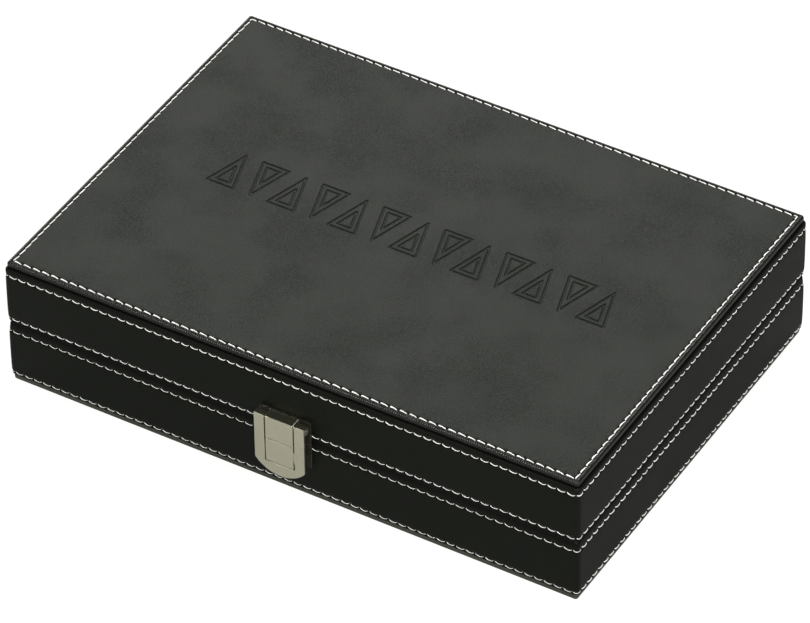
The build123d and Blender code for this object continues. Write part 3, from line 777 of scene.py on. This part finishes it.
# Near-black latch plates and nail heads, far darker than the flap in front of them
dark_plate_finish = finish_material("dark finish on the latch plates", BRUSH, {"Stretch": BRUSHED_UPRIGHT},
                                (0.012, 0.011, 0.008), (0.018, 0.016, 0.011), (0.4, 0.5), BRUSH_DEPTH,
                                "Smudge", Specular_IOR_Level=0.3)
hinge_metal = nickel("plated hinge metal", (0.46, 0.44, 0.40), (0.54, 0.52, 0.47),
                     (0.06, 1.0, 1.0), (0.22, 0.34))
magnet_metal = nickel("magnet plating", (0.55, 0.55, 0.56), (0.63, 0.63, 0.64),
                      (1.0, 1.0, 1.0), (0.14, 0.24))
light_plastic = moulded("cream moulding", (0.66, 0.57, 0.42), (0.78, 0.70, 0.55))
dark_plastic = moulded("dark brown moulding", (0.030, 0.012, 0.008), (0.060, 0.024, 0.016))
thread = finish_material("waxed thread", NAP, {"Fibres per metre": 5200.0}, (0.90, 0.89, 0.84),
                         (0.96, 0.95, 0.91), (0.6, 0.75), 0.02 * MM, "Tone")
dark_ink = moulded("dark pip paint", (0.012, 0.011, 0.010), (0.018, 0.016, 0.015), (0.3, 0.4))
light_ink = moulded("light pip paint", (0.74, 0.70, 0.62), (0.82, 0.78, 0.70), (0.3, 0.4))


# Finishes of the CAD nodes that show

LIGHT_POINTS = (6, 24, 8, 13)
DARK_POINTS = (1, 19, 12, 17)


def dress(material, *names):
    """Give CAD nodes one material."""
    for name in names:
        mesh = nodes[name].data
        mesh.materials.clear()
        mesh.materials.append(material)


for half in ("base", "lid"):
    dress(raw_board, f"{half}_front_wall", f"{half}_back_wall", f"{half}_end_walls")
    dress(lining_felt, f"{half}_inner_lining")
    dress(zinc_sheet, f"{half}_steel_sheet")
    dress(board_felt, f"{half}_field")
    dress(dark_inlay, f"{half}_points_dark")
    dress(light_inlay, f"{half}_points_light")
    dress(divider_leather, f"{half}_divider")
    dress(hinge_metal, f"{half}_hinge_leaves", f"{half}_hinge_screws")
    dress(dark_plate_finish, f"latch_{half}_nails")
dress(raw_board, "base_bottom_board", "lid_top_board")
dress(hinge_metal, "hinge_pins")
dress(latch_metal, "latch_pin")
dress(light_plastic, *[f"checkers_point_{point}" for point in LIGHT_POINTS])
dress(dark_plastic, *[f"checkers_point_{point}" for point in DARK_POINTS])
dress(magnet_metal, *[f"magnets_point_{point}" for point in LIGHT_POINTS + DARK_POINTS])
dress(light_plastic, "dice_light", "doubling_cube")
dress(dark_plastic, "dice_dark")
for side in ("left", "right"):
    dress(cup_leather, f"dice_cup_{side}")
    dress(board_felt, f"dice_cup_lining_{side}")

# Latch with rounded edges

PLATE_EDGE = 0.26 * MM
BLOCK_EDGE = 0.1 * MM
FLAP_EDGE = 0.08 * MM


def rounded_copy(name, body, width, face_material, edge_material):
    """A copy of a CAD node with its hard edges rounded by width, in place of the node.

    The node's mesh is loose triangles, in which a bevel finds no shared edges, so the copy has its
    doubles merged first. The rounded edges get a material of their own.
    """
    shape = bmesh.new()
    shape.from_mesh(nodes[name].data)
    bmesh.ops.remove_doubles(shape, verts=shape.verts, dist=0.001 * MM)
    mesh = bpy.data.meshes.new(name + "_rounded")
    shape.to_mesh(mesh)
    shape.free()
    mesh.materials.clear()
    mesh.materials.append(face_material)
    mesh.materials.append(edge_material)
    mesh.polygons.foreach_set("material_index", np.zeros(len(mesh.polygons), np.int32))
    piece = link_object(name + "_rounded", mesh)
    bevel = piece.modifiers.new("edges", "BEVEL")
    bevel.width, bevel.segments, bevel.limit_method = width, 2, "ANGLE"
    bevel.angle_limit = math.radians(50)
    bevel.material = 1
    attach(piece, body)
    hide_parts(name)


rounded_copy("latch_base_plate", "base", PLATE_EDGE, dark_plate_finish, edge_highlight_nickel)
rounded_copy("latch_lid_plate", "lid", PLATE_EDGE, dark_plate_finish, edge_highlight_nickel)
rounded_copy("latch_lower_block", "base", BLOCK_EDGE, latch_metal, edge_highlight_nickel)
rounded_copy("latch_upper_block", "lid", BLOCK_EDGE, latch_metal, edge_highlight_nickel)
rounded_copy("latch_flap", "latch_flap", FLAP_EDGE, latch_metal, latch_metal)

# Leather of the case

band("base_band", "base", False, BASE_ROWS, "base_side_cover", black_leather)
band("lid_band", "lid", True, LID_ROWS, "lid_side_cover", black_leather)
panel_border("lid_top_border", "lid", True, "lid_top_cover", black_leather, edge_leather,
             step=0.4 * MM, front_step=0.16 * MM, pleat_depth=0.42 * MM)
panel_border("base_bottom_border", "base", False, "base_bottom_cover", black_leather, foot_leather_painted_reflection,
             step=0.6 * MM, front_step=0.6 * MM, pleat_depth=0.0)
flat_panel("lid_top_panel", "lid", True, "lid_top_cover", black_leather, pressed=True)
flat_panel("base_bottom_panel", "base", False, "base_bottom_cover", black_leather, pressed=False)


# Stitching of the case

def under_plate(x, y):
    """Stitches that the latch plates would hide."""
    return (np.abs(x) < PLATE_HALF + PLATE_CLEARANCE) & (y < 0.9 * -HALF_Y)


def at_latch_or_hinge(x, y):
    """Stitches under the latch plates or cut away at the hinges."""
    hinge = (np.abs(np.abs(x) - HINGE_X) < HINGE_HALF + HINGE_CLEARANCE) & (y > 0.9 * HALF_Y)
    return under_plate(x, y) | hinge


row_anchors, row_outs = rim_path(ROW_STEP)
face_ring = inset_ring(row_anchors, row_outs, SEAM_DEPTH + PUFF)
top_ring = inset_ring(row_anchors, row_outs, TOP_ROW_INSET)
stitch_row("base_thread_lower", "base", face_ring, BASE_ROWS[0], BASE_PITCH, BASE_THREAD,
           SIDE_SLANT, SIDE_SAG, 0, thread)
stitch_row("base_thread_upper", "base", face_ring, BASE_ROWS[1], BASE_PITCH, BASE_THREAD,
           SIDE_SLANT, SIDE_SAG, 0, thread, under_plate)
stitch_row("lid_thread_lower", "lid", face_ring, CASE_TOP - LID_ROWS[1], LID_PITCH, LID_LOWER_THREAD,
           SIDE_SLANT, SIDE_SAG, 0, thread, at_latch_or_hinge)
stitch_row("lid_thread_upper", "lid", face_ring, CASE_TOP - LID_ROWS[0], LID_PITCH, LID_UPPER_THREAD,
           SIDE_SLANT, SIDE_SAG, 0, thread)
stitch_row("lid_thread_top", "lid", top_ring, CASE_TOP - CHANNEL_DEPTH - LIFT, TOP_PITCH, TOP_THREAD,
           TOP_SLANT, TOP_SAG, 1, thread)
stitch_row("base_thread_under", "base", top_ring, CHANNEL_DEPTH + LIFT, TOP_PITCH, TOP_THREAD,
           TOP_SLANT, TOP_SAG, -1, thread)

# Paint in the pips of the dice and numbers on the doubling cube

CUBE_FACES = (
    (6, (0, 0, 1), (1, 0, 0)), (1, (0, 0, -1), (1, 0, 0)), (4, (1, 0, 0), (0, 1, 0)),
    (3, (-1, 0, 0), (0, 1, 0)), (5, (0, 1, 0), (1, 0, 0)), (2, (0, -1, 0), (1, 0, 0)),
)
PIP_PATTERNS = {
    1: ((0, 0),),
    2: ((-1, -1), (1, 1)),
    3: ((-1, -1), (0, 0), (1, 1)),
    4: ((-1, -1), (-1, 1), (1, -1), (1, 1)),
    5: ((-1, -1), (-1, 1), (0, 0), (1, -1), (1, 1)),
    6: ((-1, -1), (-1, 0), (-1, 1), (1, -1), (1, 0), (1, 1)),
}
PIP_SPACING = 2.4 * MM
PIP_SIDES = 20
PIP_PROFILE = np.array([(0.25, -0.24), (0.55, -0.18), (0.83, -0.03), (0.83, -0.34)]) * MM
NUMBER_SIZE = 7.4 * MM
NUMBER_EXTRUDE = 0.09 * MM
NUMBER_LIFT = 0.08 * MM
CUBE_RECESS = 0.3 * MM


def face_axes(outward, across):
    """A cube face's way out, its way across and its way up, the last at right angles to both."""
    outward, across = np.array(outward, float), np.array(across, float)
    return outward, across, np.cross(outward, across)


def pip_paint(dice, centres, size, material):
    """Paint in the pips of a pair of dice: in each hole a disc with a shallow bowl on top.

    The disc is a profile of radius and depth below the die's face, carried round the hole's axis.
    """
    angle = np.linspace(0, 2 * math.pi, PIP_SIDES, endpoint=False)
    radii, depths = PIP_PROFILE[:, :1, None], PIP_PROFILE[:, 1:, None]
    points = []
    for centre in centres:
        for value, *axes in CUBE_FACES:
            outward, across, upward = face_axes(*axes)
            for a, b in PIP_PATTERNS[value]:
                middle = np.array(centre) + outward * size / 2 + (across * a + upward * b) * PIP_SPACING
                round_it = across * np.cos(angle)[:, None] + upward * np.sin(angle)[:, None]
                points.append(middle + round_it * radii + outward * depths)
    rings, sides = len(PIP_PROFILE), PIP_SIDES
    caps = np.stack([np.arange(sides), (rings - 1) * sides + np.arange(sides)[::-1]])
    faces = repeated(len(points), rings * sides, grid_quads(rings, sides, False, True), caps)
    mesh_piece(dice + "_pips", np.stack(points), faces, material, dice)


def cube_numbers(name, centre, size, material):
    """Raised numbers on the panels of the doubling cube, doubled from face to face."""
    points, faces, count = [], [], 0
    for value, *axes in CUBE_FACES:
        outward, across, upward = face_axes(*axes)
        letters = bpy.data.curves.new("number", "FONT")
        letters.body = str(2 ** value)
        letters.size, letters.extrude = NUMBER_SIZE, NUMBER_EXTRUDE
        letters.resolution_u = 4
        letters.align_x, letters.align_y = "CENTER", "CENTER"
        holder = bpy.data.objects.new("number", letters)
        shape = bpy.data.meshes.new_from_object(holder)
        flat = np.array([tuple(v.co) for v in shape.vertices])
        flat[:, :2] -= (flat[:, :2].min(0) + flat[:, :2].max(0)) / 2
        middle = np.array(centre) + outward * (size / 2 - CUBE_RECESS + NUMBER_LIFT)
        points.append(middle + flat @ np.stack([across, upward, outward]))
        faces += [[count + v for v in polygon.vertices] for polygon in shape.polygons]
        count += len(flat)
        bpy.data.objects.remove(holder)
        bpy.data.curves.remove(letters)
        bpy.data.meshes.remove(shape)
    mesh = bpy.data.meshes.new(name)
    mesh.from_pydata(np.concatenate(points).tolist(), [], faces)
    mesh.materials.append(material)
    piece = link_object(name, mesh)
    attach(piece, "doubling_cube")


for name, material in (("dice_light", dark_ink), ("dice_dark", light_ink)):
    low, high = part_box(name)
    die = high[2] - low[2]
    middle_y, middle_z = (low[1] + high[1]) / 2, (low[2] + high[2]) / 2
    pip_paint(name, [(x, middle_y, middle_z) for x in (low[0] + die / 2, high[0] - die / 2)], die, material)
cube_low, cube_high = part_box("doubling_cube")
cube_centre = [(low + high) / 2 for low, high in zip(cube_low, cube_high)]
cube_numbers("cube_numbers", cube_centre, cube_high[2] - cube_low[2], dark_ink)

# Floor, light and camera

FLOOR_HALF = 6.0
FLOOR_GAP = 0.05 * MM


def seen_strength(tree, strength, unseen, seen):
    """Gives a strength socket one value for what the camera sees and another for all other light."""
    path = add_node(tree, "ShaderNodeLightPath")
    choice = add_node(tree, "ShaderNodeMapRange", {"To Min": unseen, "To Max": seen},
                      {"Value": path.outputs["Is Camera Ray"]})
    tree.links.new(choice.outputs[0], strength)


def pale_floor():
    """A matt floor that glows a little by itself, and more to the camera."""
    material = bpy.data.materials.new("pale floor")
    material.use_nodes = True
    shader = material.node_tree.nodes["Principled BSDF"]
    shader.inputs["Base Color"].default_value = (0.22, 0.22, 0.205, 1)
    shader.inputs["Roughness"].default_value = 0.9
    shader.inputs["Specular IOR Level"].default_value = 0.0
    shader.inputs["Emission Color"].default_value = (1, 1, 1, 1)
    seen_strength(material.node_tree, shader.inputs["Emission Strength"], 0.21, 0.84)
    return material


floor_mesh = bpy.data.meshes.new("floor")
floor_corners = [(a * FLOOR_HALF, b * FLOOR_HALF, 0) for a, b in ((-1, -1), (1, -1), (1, 1), (-1, 1))]
floor_mesh.from_pydata(floor_corners, [], [(0, 1, 2, 3)])
floor = link_object("floor", floor_mesh)
floor.location.z = -FLOOR_GAP
floor_mesh.materials.append(pale_floor())

world = bpy.data.worlds.new("studio")
bpy.context.scene.world = world
world.use_nodes = True
backdrop = world.node_tree.nodes["Background"]
backdrop.inputs["Color"].default_value = (1, 1, 1, 1)
seen_strength(world.node_tree, backdrop.inputs["Strength"], 0.04, 1.0)


def soft_light(name, place, target, width, height, power):
    """A rectangular area lamp at place that faces target."""
    lamp = bpy.data.lights.new(name, "AREA")
    lamp.shape = "RECTANGLE"
    lamp.size, lamp.size_y, lamp.energy = width, height, power
    holder = link_object(name, lamp)
    holder.location = place
    holder.rotation_euler = (Vector(target) - Vector(place)).to_track_quat("-Z", "Y").to_euler()


soft_light("back", (-0.8, 1.3, 1.4), (0, 0, 0.05), 1.7, 1.5, 46.0)
soft_light("right", (1.5, -0.5, 1.1), (0, 0, 0.03), 0.9, 0.9, 14.0)
soft_light("front", (0.85, -1.4, 1.3), (0, -0.1, 0.0), 0.85, 0.8, 34.0)
soft_light("front left", (-0.9, -1.5, 1.2), (0, -0.1, 0.0), 0.6, 0.6, 5.0)

CAMERA_PLACE = Vector((946.4, -1561.7, 1593.7)) * MM
CAMERA_WAY = Vector((-0.3932, 0.64797, -0.65233))
CAMERA_ROLL = math.radians(-0.808)
camera_data = bpy.data.cameras.new("camera")
camera_data.sensor_width = 36.0
camera_data.lens = 280.06
camera_data.clip_end = 20.0
camera = link_object("camera", camera_data)
camera.location = CAMERA_PLACE
turn = CAMERA_WAY.to_track_quat("-Z", "Y").to_matrix() @ Matrix.Rotation(CAMERA_ROLL, 3, "Z")
camera.rotation_euler = turn.to_euler()
bpy.context.scene.camera = camera
bpy.context.scene.view_settings.view_transform = "Standard"
